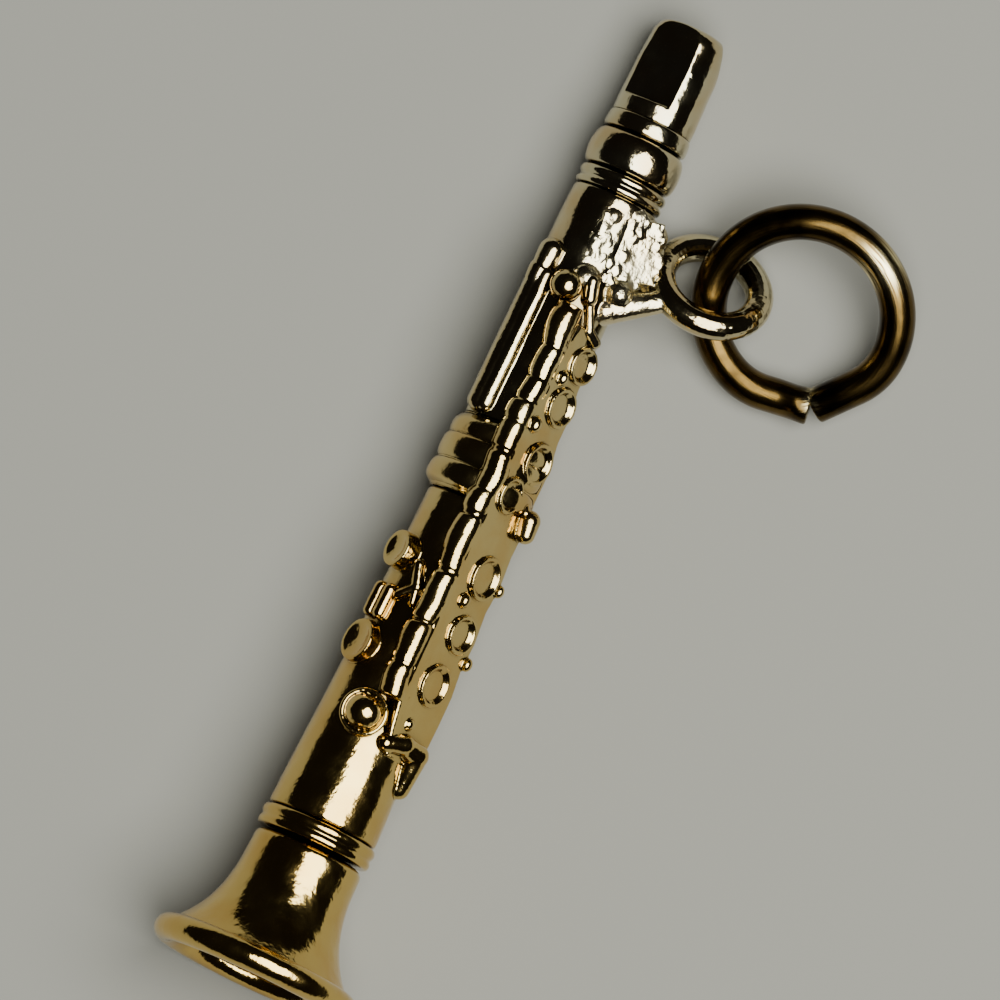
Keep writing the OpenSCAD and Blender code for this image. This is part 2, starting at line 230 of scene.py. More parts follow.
bmesh.ops.translate(beak_cut, vec=(0, 0.5, 0), verts=beak_cut.verts[:])
bmesh.ops.rotate(beak_cut, matrix=Matrix.Rotation(math.radians(19), 3, "Z"), verts=beak_cut.verts[:])
bmesh.ops.rotate(beak_cut, matrix=Matrix.Rotation(math.radians(-14), 3, "X"), verts=beak_cut.verts[:])
bmesh.ops.translate(beak_cut, vec=(0, 0.76, 0), verts=beak_cut.verts[:])
tools = [hidden_tool("reed cut", reed_cut), hidden_tool("beak cut", beak_cut)]
mesh = worked("mouthpiece", body, [
    difference(tools[0], "EXACT"),
    difference(tools[1], "EXACT"),
    ("REMESH", {"mode": "VOXEL", "voxel_size": 0.026}),
    ("SMOOTH", {"factor": 0.5, "iterations": 14})])
cast_skin(mesh)
seated("mouthpiece", mesh, PALE_GOLD, ["mouthpiece"])

# ---- Reed band, barrel and its beads ----
# Below the mouthpiece a narrow band stands for the clamp that holds a reed. The barrel is a
# wide rounded swelling, and two thin beads close it against the upper joint.
barrel_x, beads_x, upper_x = 3.4, 4.55, 5.15


def turned(name, profile, material):
    bm = bmesh.new()
    turned_body(bm, profile)
    mesh = worked(name, bm, [("SUBSURF", {"levels": 2, "render_levels": 2})])
    cast_skin(mesh)
    return seated(name, mesh, material, [name])


turned("reed_band", [(band_x, 0), (band_x, 1.15), (band_x + 0.04, 1.19), (2.95, 1.21), (3.2, 1.23),
                     (3.32, 1.22), (barrel_x, 1.15), (barrel_x, 0)], PALE_GOLD)
turned("barrel", [(barrel_x, 0), (barrel_x, 1.14), (3.46, 1.23), (3.62, 1.32), (3.98, 1.37), (4.32, 1.33),
                  (4.48, 1.26), (beads_x, 1.15), (beads_x, 0)], PALE_GOLD)
turned("barrel_ring", [(beads_x, 0), (beads_x, 1.18), (4.6, 1.26), (4.72, 1.3), (4.82, 1.25), (4.86, 1.21),
                       (4.92, 1.25), (5.0, 1.3), (5.1, 1.26), (upper_x, 1.2), (upper_x, 0)],
       PALE_GOLD)


# ---- Upper joint, middle collar and lower joint ----
# The upper joint is nearly straight. The collar is where a real clarinet's two joints meet: a
# narrow ring, a broad bulge and two thin rings. Below it the lower joint widens to the bell.
collar_x, lower_x, bell_ring_x = 12.25, 14.5, 24.3
upper_r, middle_r, lower_r = 1.26, 1.3, 1.62


def tube_r(x):
    if x < collar_x:
        return upper_r + (middle_r - upper_r) * (x - upper_x) / (collar_x - upper_x)
    return middle_r + (lower_r - middle_r) * max(0, (x - lower_x) / (bell_ring_x - lower_x)) ** 1.5


def tube_profile(start, end, grow=0.0, steps=12):
    stations = [start + (end - start) * i / steps for i in range(steps + 1)]
    return [(start, 0)] + [(x, tube_r(x) + grow) for x in stations] + [(end, 0)]


def bore_piece(name, start, end, material):
    turned(name, [(start, 0), (start, tube_r(start) - 0.05)] + tube_profile(start + 0.03, end - 0.03)[1:-1]
           + [(end, tube_r(end) - 0.05), (end, 0)], material)


CAST_GOLD = gold("cast gold", (0.62, 0.53, 0.29), (0.66, 0.47, 0.15), 0.11, 1.0)
bore_piece("upper_joint", upper_x, collar_x, PALE_GOLD)
collar_profile = [(collar_x, 0), (collar_x, 1.29), (12.33, 1.34), (12.42, 1.42), (12.55, 1.485),
                  (12.78, 1.49), (12.86, 1.46), (12.9, 1.43), (12.95, 1.49), (13.07, 1.53),
                  (13.3, 1.545), (13.53, 1.53), (13.62, 1.47), (13.66, 1.45), (13.72, 1.52), (13.85, 1.57),
                  (14.05, 1.58), (14.22, 1.56), (14.32, 1.48), (14.38, 1.38), (14.43, 1.33),
                  (lower_x, 1.29), (lower_x, 0)]
turned("middle_collar", collar_profile, CAST_GOLD)
bore_piece("lower_joint", lower_x, bell_ring_x, CAST_GOLD)

# ---- Bell ring, bell and rim ----
# Two beads mark the top of the bell. The bell flares late into a thick rolled rim, and is
# hollowed only a little way, with the bottom of the hollow left plain.
bell_x = 24.95

turned("bell_ring", [(bell_ring_x, 0), (bell_ring_x, 1.6), (24.36, 1.66), (24.48, 1.7), (24.58, 1.66),
                     (24.63, 1.62), (24.7, 1.66), (24.79, 1.69), (24.89, 1.65), (bell_x, 1.6), (bell_x, 0)],
       CAST_GOLD)


def flare(t):
    return 1.6 + 1.22 * t ** 3.1


def hollow(t):
    return 0.72 + 1.62 * t ** 1.9


flare_steps, hollow_steps = 10, 8
flare_length = rim_place - 0.12 - bell_x
hollow_depth = 2.6
outside = [(bell_x + flare_length * i / flare_steps, flare(i / flare_steps)) for i in range(flare_steps + 1)]
inside = [(rim_place - hollow_depth * (1 - t), hollow(t))
          for t in (1 - i / hollow_steps for i in range(hollow_steps + 1))]
turned("bell", [(bell_x, 0)] + outside + inside + [(rim_place - hollow_depth, 0)], CAST_GOLD)

rim_mid_r, rim_half = 2.63, 0.395
rim = bmesh.new()
rim_steps = 20
lip = [rim.verts.new((rim_place + rim_half * math.cos(math.tau * i / rim_steps), 0,
                      rim_mid_r + rim_half * math.sin(math.tau * i / rim_steps))) for i in range(rim_steps)]
lip_edges = [rim.edges.new((lip[i], lip[(i + 1) % rim_steps])) for i in range(rim_steps)]
bmesh.ops.spin(rim, geom=lip + lip_edges, cent=(0, 0, 0), axis=(1, 0, 0), dvec=(0, 0, 0), angle=math.tau,
               steps=120, use_merge=True, use_duplicate=False)
bmesh.ops.remove_doubles(rim, verts=rim.verts[:], dist=1e-5)
bmesh.ops.recalc_face_normals(rim, faces=rim.faces[:])
mesh = worked("bell_rim", rim, [("SUBSURF", {"levels": 1, "render_levels": 1})])
cast_skin(mesh, 0.006, 0.003)
seated("bell_rim", mesh, CAST_GOLD, ["bell_rim"])


# ---- Keys in relief ----
# The keys are part of the casting. Each is modelled as wax would be: its shapes are fused to
# the tube, the joints are softened into fillets, and then what is bare tube is cut away.
bare = bmesh.new()
turned_body(bare, tube_profile(upper_x - 1.0, collar_x + 0.4, 0.005))
lower_bare = bmesh.new()
turned_body(lower_bare, tube_profile(lower_x - 0.4, bell_ring_x, 0.005, 24))
collar_bare = bmesh.new()
turned_body(collar_bare, [(x, r + 0.004 if r else 0) for x, r in collar_profile])
tube_tools = [hidden_tool("upper bare", bare), hidden_tool("lower bare", lower_bare),
              hidden_tool("collar bare", collar_bare)]


def on_tube(x, turn, rise=0.0):
    """A point above the tube: turn is in degrees from the top towards the bail's side."""
    r = tube_r(x) + rise
    return Vector((x, r * math.sin(math.radians(turn)), r * math.cos(math.radians(turn))))


def ball(bm, centre, r, stretch=(1, 1, 1)):
    made = bmesh.ops.create_icosphere(bm, subdivisions=3, radius=r)["verts"]
    bmesh.ops.scale(bm, vec=stretch, verts=made)
    bmesh.ops.translate(bm, vec=centre, verts=made)


def bar(bm, start, end, r1, r2=None):
    """A round bar with round ends, which may taper."""
    r2 = r2 or r1
    start, end = Vector(start), Vector(end)
    made = bmesh.ops.create_cone(bm, cap_ends=True, segments=20, radius1=r1, radius2=r2,
                                 depth=(end - start).length)["verts"]
    bmesh.ops.rotate(bm, matrix=(end - start).to_track_quat("Z", "Y").to_matrix(), verts=made)
    bmesh.ops.translate(bm, vec=(start + end) / 2, verts=made)
    ball(bm, start, r1)
    ball(bm, end, r2)


def hoop(bm, centre, axis, mid_r, wire_r):
    """A ring of round wire."""
    section = bmesh.ops.create_circle(bm, segments=16, radius=wire_r)["verts"]
    bmesh.ops.rotate(bm, matrix=Matrix.Rotation(math.pi / 2, 3, "X"), verts=section)
    bmesh.ops.translate(bm, vec=(mid_r, 0, 0), verts=section)
    edges = list(dict.fromkeys(e for v in section for e in v.link_edges))
    before = set(bm.verts) - set(section)
    bmesh.ops.spin(bm, geom=section + edges, cent=(0, 0, 0), axis=(0, 0, 1), dvec=(0, 0, 0), angle=math.tau,
                   steps=48, use_merge=True, use_duplicate=False)
    made = [v for v in bm.verts if v not in before]
    bmesh.ops.rotate(bm, matrix=Vector(axis).to_track_quat("Z", "X").to_matrix(), verts=made)
    bmesh.ops.translate(bm, vec=centre, verts=made)


def relief(name, shape, start, end, material=CAST_GOLD, slot="cast_gold", voxel=0.03, soft=3, cutters=(),
           dishes=None, under=None, skin=True):
    """Fuses shape to the tube between two places, softens it, and cuts the bare tube away.

    The shape is also fused to what lies under it, which cutters then remove with the tube.
    """
    bm = bmesh.new()
    shape(bm)
    if under:
        under(bm)
    core = bmesh.new()
    if end <= collar_x or start >= lower_x:
        turned_body(core, tube_profile(start, end))
    else:
        near = [(x, r) for x, r in collar_profile if r]
        turned_body(core, tube_profile(start, collar_x)[:-1] + near + tube_profile(lower_x, end)[1:])
    scrap = bpy.data.meshes.new("core")
    core.to_mesh(scrap)
    core.free()
    bm.from_mesh(scrap)
    bpy.data.meshes.remove(scrap)
    fuse = ("REMESH", {"mode": "VOXEL", "voxel_size": voxel})
    stages = [fuse, ("SMOOTH", {"factor": 0.5, "iterations": soft})]
    if dishes:
        bowl = hidden_tool(name + " dish", dishes)
        stages = [fuse, difference(bowl)] + stages
    stages += [difference(tool) for tool in [*tube_tools, *cutters]]
    mesh = worked(name, bm, stages)
    if dishes:
        bpy.data.objects.remove(bowl)
    if skin:
        cast_skin(mesh)
    mesh.set_sharp_from_angle(angle=math.radians(55))
    return seated(name, mesh, material, [name])


# ---- Key bed ----
# The tone hole cups stand on a raised strip down the bail's side of the tube. It is nearly flat,
# leans outwards at 50 degrees, and its edges flow into the tube and into the foot of the rod.
bed_x, bed_turn, bed_h, bed_slope = 9.0, 50, 1.38, math.radians(0.75)
BED = Matrix.Rotation(math.radians(-bed_turn), 4, "X") @ Matrix.Translation((bed_x, 0, bed_h)) \
    @ Matrix.Rotation(-bed_slope, 4, "Y") @ Matrix.Translation((-bed_x, 0, 0))
bed_edges = [(8.9, -0.7, 0.3), (9.9, -1.0, 0.54), (10.5, -1.05, 0.56), (11.2, -1.06, 0.7), (12, -1.06, 0.7),
             (12.8, -1.06, 0.88), (13.8, -1.06, 0.86), (14.6, -1.06, 0.96), (15.4, -1.06, 0.92),
             (16.3, -1.06, 1.02), (17.1, -1.06, 0.92), (18, -1.06, 1.04), (18.8, -1.06, 0.98),
             (19.6, -1.06, 1.1), (20.4, -1.04, 1.1), (21.2, -0.85, 1.06), (21.9, -0.6, 0.8)]


def bed_body(bm):
    """The strip as a row of sections, flat in the middle and rounded down at its outer edge."""
    rows = []
    for x, near, far in bed_edges:
        section = ((near, -0.6), (near, -0.05), (near + 0.06, -0.01), ((near + far) / 2, 0.0),
                   (far - 0.14, -0.04), (far, -0.2), (far, -0.6))
        rows.append([bm.verts.new(BED @ Vector((x, across, h))) for across, h in section])
    for one, two in zip(rows, rows[1:]):
        for i in range(len(one)):
            bm.faces.new((one[i], one[i - 1], two[i - 1], two[i]))
    bm.faces.new(rows[0])
    bm.faces.new(list(reversed(rows[-1])))
    bmesh.ops.recalc_face_normals(bm, faces=bm.faces[:])


def bed_side(name, way):
    """A box that takes everything on one side of the line where the rod's root meets the bed."""
    bm = bmesh.new()
    bmesh.ops.create_cube(bm, size=1)
    bmesh.ops.scale(bm, vec=(20, 4, 6), verts=bm.verts[:])
    bmesh.ops.translate(bm, vec=(15, 2 * way - 0.74, 0), verts=bm.verts[:])
    bmesh.ops.transform(bm, matrix=BED, verts=bm.verts[:])
    return hidden_tool(name, bm)


def grown_tool(name, piece):
    """A cutter a few microns larger than a finished piece."""
    bm = bmesh.new()
    bm.from_mesh(piece.data)
    bmesh.ops.transform(bm, matrix=LAID.inverted(), verts=bm.verts[:])
    bm.normal_update()
    for v in bm.verts:
        v.co += v.normal * 0.007
    return hidden_tool(name, bm)


# ---- Long key rod ----
# One thick rod runs down the front, over the collar, from a ball at the throat to a ball in a
# cup. It is nicked across at uneven spacings, so that it looks like a row of rounded lengths.
rod_start, rod_end = Vector((8.5, 0.13, 1.41)), Vector((20.4, 0.13, 1.57))
rod_r = 0.385
nicks = [8.6, 9.77, 10.7, 11.41, 12.06, 12.97, 14.14, 14.9, 16.63, 18.18, 19.46, 20.45]
nick_depths = [0.05, 0.04, 0.05, 0.07, 0.05, 0.1, 0.04, 0.1, 0.1, 0.1, 0.05, 0.05]


def on_rod(x, sway):
    t = (x - rod_start.x) / (rod_end.x - rod_start.x)
    return rod_start.lerp(rod_end, t) + Vector((0, sway, 0))


def rod_shape(bm):
    """The rod as a row of rings. It sways a little, but keeps its root against the bed."""
    rings = []
    steps, sides = 150, 28
    for i in range(steps + 1):
        x = rod_start.x + (rod_end.x - rod_start.x) * i / steps
        radius = rod_r + 0.012 * math.sin(x * 2.3)
        for nick, depth in zip(nicks, nick_depths):
            near = abs(x - nick)
            radius -= depth * math.exp(-(near / 0.06) ** 2) + 0.022 * math.exp(-(near / 0.2) ** 2)
        sway = 0.05 * math.sin(x * 1.9 + 0.6) + 0.025 * math.sin(x * 4.7)
        ring = []
        for a in (math.tau * k / sides for k in range(sides)):
            root = max(0.0, math.cos(a - 0.35))
            reach = radius + root * (0.6 * (rod_r - radius) + max(0.0, -sway))
            ring.append(bm.verts.new(on_rod(x, sway) + Vector((0, reach * math.cos(a), reach * math.sin(a)))))
        rings.append(ring)
    for one, two in zip(rings, rings[1:]):
        for k in range(sides):
            bm.faces.new((one[k - 1], one[k], two[k], two[k - 1]))
    bm.faces.new(rings[0])
    bm.faces.new(list(reversed(rings[-1])))
    bmesh.ops.recalc_face_normals(bm, faces=bm.faces[:])


rod_side, cup_side = bed_side("rod side", -1), bed_side("cup side", 1)
key_bed = relief("key_bed", bed_body, 7.8, 22.2, soft=3, under=rod_shape,
                 cutters=[rod_side], skin=False)
key_rod = relief("key_rod", rod_shape, 7.8, 22.2, soft=3, under=bed_body,
                 cutters=[cup_side], skin=False)
front_tools = [grown_tool("bed bare", key_bed), grown_tool("rod bare", key_rod)]
relief("key_rod_ball", lambda bm: ball(bm, on_tube(8.05, -10, 0.12), 0.46), 7.0, 9.0, soft=3)


# ---- Low cup and its ball ----
# The long rod ends against a round cup, almost filled by one large polished ball.
def low_cup_shape(bm):
    outward = on_tube(21.1, -10) - Vector((21.1, 0, 0))
    hoop(bm, on_tube(21.1, -10, 0.09), outward, 0.61, 0.075)
    ball(bm, on_tube(21.1, -10, -0.2), 0.6)


relief("low_cup", low_cup_shape, 19.8, 22.4, soft=3)
relief("low_cup_ball", lambda bm: ball(bm, on_tube(21.1, -10, 0.06), 0.53), 20.0, 22.2, soft=2)


# ---- Side rod ----
# Two slim rods lie side by side down the left of the upper joint, under one large knob.
side_turn = -50


def side_rod_shape(bm):
    for turn in (side_turn - 8, side_turn + 9):
        bar(bm, on_tube(8.0, turn, 0.03), on_tube(11.9, turn, 0.03), 0.27)
    bar(bm, on_tube(7.9, side_turn, 0.07), on_tube(11.9, side_turn, 0.06), 0.33)
    bar(bm, on_tube(7.9, side_turn, 0.12), on_tube(8.2, side_turn, 0.1), 0.33)


def knob_shape(bm):
    bar(bm, on_tube(7.3, side_turn + 3, 0.1), on_tube(7.72, side_turn + 3, 0.12), 0.37, 0.33)


relief("side_rod", side_rod_shape, 7.2, collar_x, PALE_GOLD, "pale_cast_gold", soft=3)
relief("side_rod_knob", knob_shape, 6.5, 8.6, PALE_GOLD, "pale_cast_gold", soft=4)


# ---- Tone hole cups ----
# Seven small cups stand on the bed, each cast a little differently. Each is a low disc with a
# thin rim, hollowed to a smooth shallow bowl.
def disc_and_bowl(place, r, rise, rim, deep, stretch=1.0):
    """A disc about a placed Z axis, and the round tool that hollows its top."""
    disc, bowl = bmesh.new(), bmesh.new()
    bmesh.ops.create_cone(disc, cap_ends=True, segments=40, radius1=r + 0.03, radius2=r, depth=0.6 + rise)
    bmesh.ops.translate(disc, vec=(0, 0, (rise - 0.6) / 2), verts=disc.verts[:])
    hollow_r = r - rim
    bowl_r = (hollow_r ** 2 + deep ** 2) / (2 * deep)
    bmesh.ops.create_icosphere(bowl, subdivisions=4, radius=bowl_r)
    bmesh.ops.translate(bowl, vec=(0, 0, rise + bowl_r - deep), verts=bowl.verts[:])
    for bm in (disc, bowl):
        bmesh.ops.transform(bm, matrix=place @ Matrix.Diagonal((stretch, 1, 1, 1)), verts=bm.verts[:])
    scrap = bpy.data.meshes.new("disc")
    disc.to_mesh(scrap)
    disc.free()
    return scrap, bowl


def cup(name, place, start, end, sizes, **more):
    disc, bowl = disc_and_bowl(place, *sizes)
    relief(name, lambda bm: bm.from_mesh(disc), start, end, voxel=0.024, soft=2, dishes=bowl, **more)
    bpy.data.meshes.remove(disc)


# Each cup's place along the bed and across it, radius, rise, rim width, bowl depth and stretch
cups = {
    "tone_cup_1": (9.83, 0.08, 0.53, 0.11, 0.09, 0.24, 1.02),
    "tone_cup_2": (11.15, -0.03, 0.55, 0.12, 0.1, 0.25, 1.05),
    "tone_cup_3": (12.82, 0.04, 0.56, 0.13, 0.1, 0.27, 1.08),
    "tone_cup_4": (13.97, -0.45, 0.45, 0.12, 0.08, 0.24, 1.18),
    "tone_cup_5": (16.3, 0.06, 0.58, 0.12, 0.09, 0.26, 1.1),
    "tone_cup_6": (17.98, 0.14, 0.53, 0.12, 0.09, 0.25, 1.06),
    "tone_cup_7": (19.58, 0.0, 0.57, 0.11, 0.09, 0.24, 1.08),
}
for name, (x, across, *sizes) in cups.items():
    place = BED @ Matrix.Translation((x, across, -0.01))
    cup(name, place, x - 1.0, x + 1.0, sizes, under=bed_body, cutters=front_tools)


# ---- Pad, beads and foot ----
# Between the cups the casting has small beads, a solid pad that leans out over the bed's edge,
# and at the foot of the keys a curled touch made of a few lumps.
def pad_shape(bm):
    bar(bm, BED @ Vector((14.3, 0.66, 0.1)), BED @ Vector((14.68, 0.72, 0.12)), 0.32, 0.27)
    bar(bm, BED @ Vector((14.05, 0.35, 0.0)), BED @ Vector((14.4, 0.62, 0.05)), 0.16)


def beads_shape(bm):
    for x, across, r in ((10.42, -0.5, 0.16), (11.92, -0.74, 0.18), (17.12, -0.36, 0.17), (16.4, 0.86, 0.15),
                         (18.6, 0.9, 0.15)):
        ball(bm, BED @ Vector((x, across, 0.0 if across > 0.8 else 0.03)), r, (1.3, 1, 1))


def foot_shape(bm):
    bar(bm, on_tube(21.6, 24, 0.05), on_tube(21.4, 46, 0.08), 0.24, 0.3)
    bar(bm, on_tube(21.4, 46, 0.08), on_tube(21.5, 66, 0.2), 0.28, 0.35)
    bar(bm, on_tube(21.5, 66, 0.2), on_tube(22.5, 77, 0.0), 0.34, 0.3)
    ball(bm, on_tube(20.85, 40, 0.02), 0.2)


relief("trill_pad", pad_shape, 13.4, 15.6, soft=3, under=bed_body, cutters=front_tools)
relief("edge_beads", beads_shape, 9.8, 19.3, voxel=0.03, soft=2, under=bed_body, cutters=front_tools)
relief("foot_key", foot_shape, 20.0, 23.4, soft=3, under=bed_body, cutters=front_tools)


# ---- Throat key ----
# Beside the bail a short oval touch runs into a bent lever, with two small beads next to it.
def throat_shape(bm):
    bar(bm, (7.65, 0.36, 1.26), (8.1, 0.5, 1.24), 0.23)
    bar(bm, (8.1, 0.5, 1.24), (8.95, 0.9, 1.06), 0.14)
    bar(bm, (8.9, 0.86, 1.06), (9.1, 1.16, 0.82), 0.17)


def throat_beads_shape(bm):
    for x, turn in ((8.08, 56), (7.6, 60)):
        ball(bm, on_tube(x, turn, 0.08), 0.22)


relief("throat_key", throat_shape, 6.8, 10.0, PALE_GOLD, "pale_cast_gold", soft=2)
relief("throat_beads", throat_beads_shape, 6.6, 9.0, PALE_GOLD, "pale_cast_gold", soft=2)


# ---- Left hand keys ----
# Two cups lie low on the left side with a small forked lever and a ridged bar between them.
def lever_shape(bm):
    bar(bm, (16.75, -0.62, 1.26), (17.35, -0.42, 1.34), 0.16)
    bar(bm, (17.35, -0.42, 1.34), (17.75, -0.8, 1.18), 0.14)
    bar(bm, (17.35, -0.42, 1.34), (17.8, -0.35, 1.34), 0.11)


def left_bar_shape(bm):
    for turn in (-45, -62):
        bar(bm, on_tube(17.7, turn, 0.12), on_tube(18.4, turn, 0.12), 0.19)


def round_tube(x, turn):
    return Matrix.Rotation(math.radians(-turn), 4, "X") @ Matrix.Translation((x, 0, tube_r(x)))


cup("left_cup", round_tube(16.55, -56), 15.4, 17.7, (0.54, 0.36, 0.12, 0.1))
relief("left_lever", lever_shape, 15.9, 18.7, soft=2)
relief("left_bar", left_bar_shape, 16.8, 19.3, soft=2)
cup("left_low_cup", round_tube(19.3, -54), 18.0, 20.6, (0.62, 0.22, 0.1, 0.12))

# ---- Bail ring ----
# The bail is a closed ring of round wire, butted and soldered shut. Its seam shows as a fine
# nick, and it is soldered by one side to the upper joint.
mounts = {mount["name"]: mount for mount in frame["record"]["mounts"]}
bail_mid_r, bail_wire_r = 1.42, 0.395
bail_axis = Vector(mounts["bail_loop"]["axis"]).normalized()
bail_middle = LAID.inverted() @ Vector(mounts["bail_loop"]["pos_m"])
bail_normal = (LAID.to_3x3().inverted() @ bail_axis).normalized()
bail_seam = math.radians(62)


def bail_shape(bm, grow=0.0):
    hoop(bm, bail_middle, bail_normal, bail_mid_r, bail_wire_r + grow)


bail = bmesh.new()
bail_shape(bail)
across = outwards.cross(bail_normal).normalized()
nick_way = (outwards * math.cos(bail_seam) - across * math.sin(bail_seam)).normalized()
nick = bmesh.new()
hoop(nick, bail_middle + nick_way * bail_mid_r, nick_way.cross(bail_normal), bail_wire_r + 0.035, 0.05)
seam_tool = hidden_tool("bail seam", nick)
mesh = worked("bail_ring", bail, [("REMESH", {"mode": "VOXEL", "voxel_size": 0.024}),
                                  difference(seam_tool),
                                  ("SMOOTH", {"factor": 0.5, "iterations": 2})])
cast_skin(mesh, 0.008, 0.003)
seated("bail_ring", mesh, PALE_GOLD, ["bail_ring"])

# ---- Solder ----
# Solder has run from under the bail over the side of the upper joint and frozen in a rough,
# bright, slightly flattened patch, with a fillet up the foot of the bail.
# The solder gets less painted shade in its recesses than the gold.
SOLDER = gold("rough solder", (0.72, 0.66, 0.46), (0.74, 0.64, 0.38), 0.2, 3.2, 0.4)
grown_bail = bmesh.new()
bail_shape(grown_bail, 0.008)
bail_tool = hidden_tool("bail bare", grown_bail)
foot = bail_middle - Vector((0, bail_mid_r, 0))
solder_lean = Matrix.Rotation(math.radians(-20), 3, "X")


def solder_body(bm):
    bail_shape(bm)
    ramp = bmesh.ops.create_cube(bm, size=1)["verts"]
    bmesh.ops.scale(bm, vec=(1.75, 1.85, 0.7), verts=ramp)
    bmesh.ops.rotate(bm, matrix=Matrix.Rotation(math.radians(14), 3, "Z"), verts=ramp)
    bmesh.ops.translate(bm, vec=(6.35, 0.5, 0.9), verts=ramp)
    bmesh.ops.rotate(bm, matrix=solder_lean, verts=ramp)
    bar(bm, foot - Vector((0, 0.75, -0.05)), foot - Vector((0, 0.28, -0.05)), 0.66, 0.38)
    ball(bm, foot + Vector((0.62, -0.55, 0.6)), 0.4)
    ball(bm, foot + Vector((-0.55, -0.6, 0.2)), 0.42)
    ball(bm, on_tube(7.6, 8, -0.25), 0.45)
    ball(bm, on_tube(5.75, 6, -0.2), 0.3)
    bell_way = across if across.x > 0 else -across
    bar(bm, bail_middle + bail_mid_r * (bell_way * 0.8 - outwards * 0.6), on_tube(8.15, 60, -0.12), 0.3, 0.42)
    ball(bm, on_tube(7.6, 58, 0.1), 0.42)
    ball(bm, foot + Vector((0.75, -0.32, 0.2)), 0.42)
    for i in range(80):
        spot = noise.random_unit_vector()
        ball(bm, solder_lean @ Vector((6.4 + spot.x * 1.05, 0.5 + spot.y, 1.2)),
             0.09 + 0.03 * spot.z, (1.8, 1.8, 0.6))


noise.seed_set(11)
relief("bail_solder", solder_body, 5.16, 8.6, SOLDER, "silver_solder", soft=9, cutters=[bail_tool])

for tool in [*tools, *tube_tools, *front_tools, rod_side, cup_side, seam_tool, bail_tool]:
    bpy.data.objects.remove(tool)

# ---- Jump ring ----
# The jump ring is drawn brass wire, tarnished brown, bent round and cut with snips. It has been
# pulled open and pushed back, so its ends stay straight and don't quite meet.
jump_mid_r, jump_wire_r = 2.62, 0.505
bend_r, bend_angle, round_half = 1.9, math.radians(34), math.radians(125)
cut_half = 0.06
turn_angle = round_half + bend_angle
bend_reach = (jump_mid_r - bend_r) * math.sin(round_half) + bend_r * math.sin(turn_angle)
end_len = (cut_half - bend_reach) / math.cos(turn_angle)
end_steps = 10

wire = bmesh.new()
drawn_layer = wire.verts.layers.float_vector.new("drawn")
wear_and_shine_layer = wire.verts.layers.float.new("wear_and_shine")
section = bmesh.ops.create_circle(wire, segments=40, radius=jump_wire_r)["verts"]
bmesh.ops.rotate(wire, matrix=Matrix.Rotation(math.pi / 2, 3, "X"), verts=section)
bmesh.ops.translate(wire, vec=(jump_mid_r, 0, 0), verts=section)
bmesh.ops.rotate(wire, matrix=Matrix.Rotation(math.pi / 2 - round_half, 3, "Z"), verts=section)


def only(kind, items):
    return [item for item in items if isinstance(item, kind)]


lead = [*section, *dict.fromkeys(e for v in section for e in v.link_edges)]
made = bmesh.ops.spin(wire, geom=lead, cent=(0, 0, 0), axis=(0, 0, 1), dvec=(0, 0, 0), angle=2 * round_half,
                      steps=120, use_duplicate=False)
for side, front in ((1, made["geom_last"]), (-1, lead)):
    corner = Matrix.Rotation(side * round_half, 3, "Z") @ Vector((0, jump_mid_r - bend_r, 0))
    bent = bmesh.ops.spin(wire, geom=front, cent=corner, axis=(0, 0, side), dvec=(0, 0, 0), angle=bend_angle,
                          steps=18, use_duplicate=False)["geom_last"]
    heading = Matrix.Rotation(side * turn_angle, 3, "Z") @ Vector((-side, 0, 0))
    rim_edges = only(bmesh.types.BMEdge, bent)
    for _ in range(end_steps):
        pushed = bmesh.ops.extrude_edge_only(wire, edges=rim_edges)["geom"]
        moved = only(bmesh.types.BMVert, pushed)
        bmesh.ops.translate(wire, vec=heading * end_len / end_steps, verts=moved)
        rim_edges = [e for e in only(bmesh.types.BMEdge, pushed) if all(v in moved for v in e.verts)]
    bmesh.ops.holes_fill(wire, edges=rim_edges, sides=0)
    bmesh.ops.bevel(wire, geom=rim_edges, offset=0.05, segments=3, profile=0.5, affect="EDGES", material=-1)
bmesh.ops.remove_doubles(wire, verts=wire.verts[:], dist=1e-6)
bmesh.ops.recalc_face_normals(wire, faces=wire.faces[:])
for v in wire.verts:
    flat = Vector((v.co.x, v.co.y, 0))
    out = flat.length - jump_mid_r
    around = math.atan2(v.co.x, v.co.y)
    v[drawn_layer] = (out * 2.2, v.co.z * 2.2, around * 0.35)
    # The bright patch near the clasp is part wear and part painted highlight: it sits where the lamp's
    # reflection falls on the ring. The cut ends are worn bright.
    at_clasp = math.exp(-((around - 1.08) / 0.2) ** 2)
    at_cut = math.exp(-((abs(around) - math.pi) / 0.05) ** 2)
    v[wear_and_shine_layer] = at_clasp + 0.6 * at_cut
    near_cut = max(0.0, 1 - abs(v.co.x + 0.35) / 0.4) if v.co.y < 0 and v.co.x < 0 else 0.0
    v.co.z += 0.1 * near_cut
    v.co += Vector((0, 0, 1)) * 0.012 * noise.noise(v.co * 0.9)

brass = bpy.data.materials.new("tarnished brass")
brass.use_nodes = True
tree = brass.node_tree
join = tree.links.new


def node(kind, **values):
    made = tree.nodes.new("ShaderNode" + kind)
    for key, value in values.items():
        made.inputs[key.replace("_", " ")].default_value = value
    return made


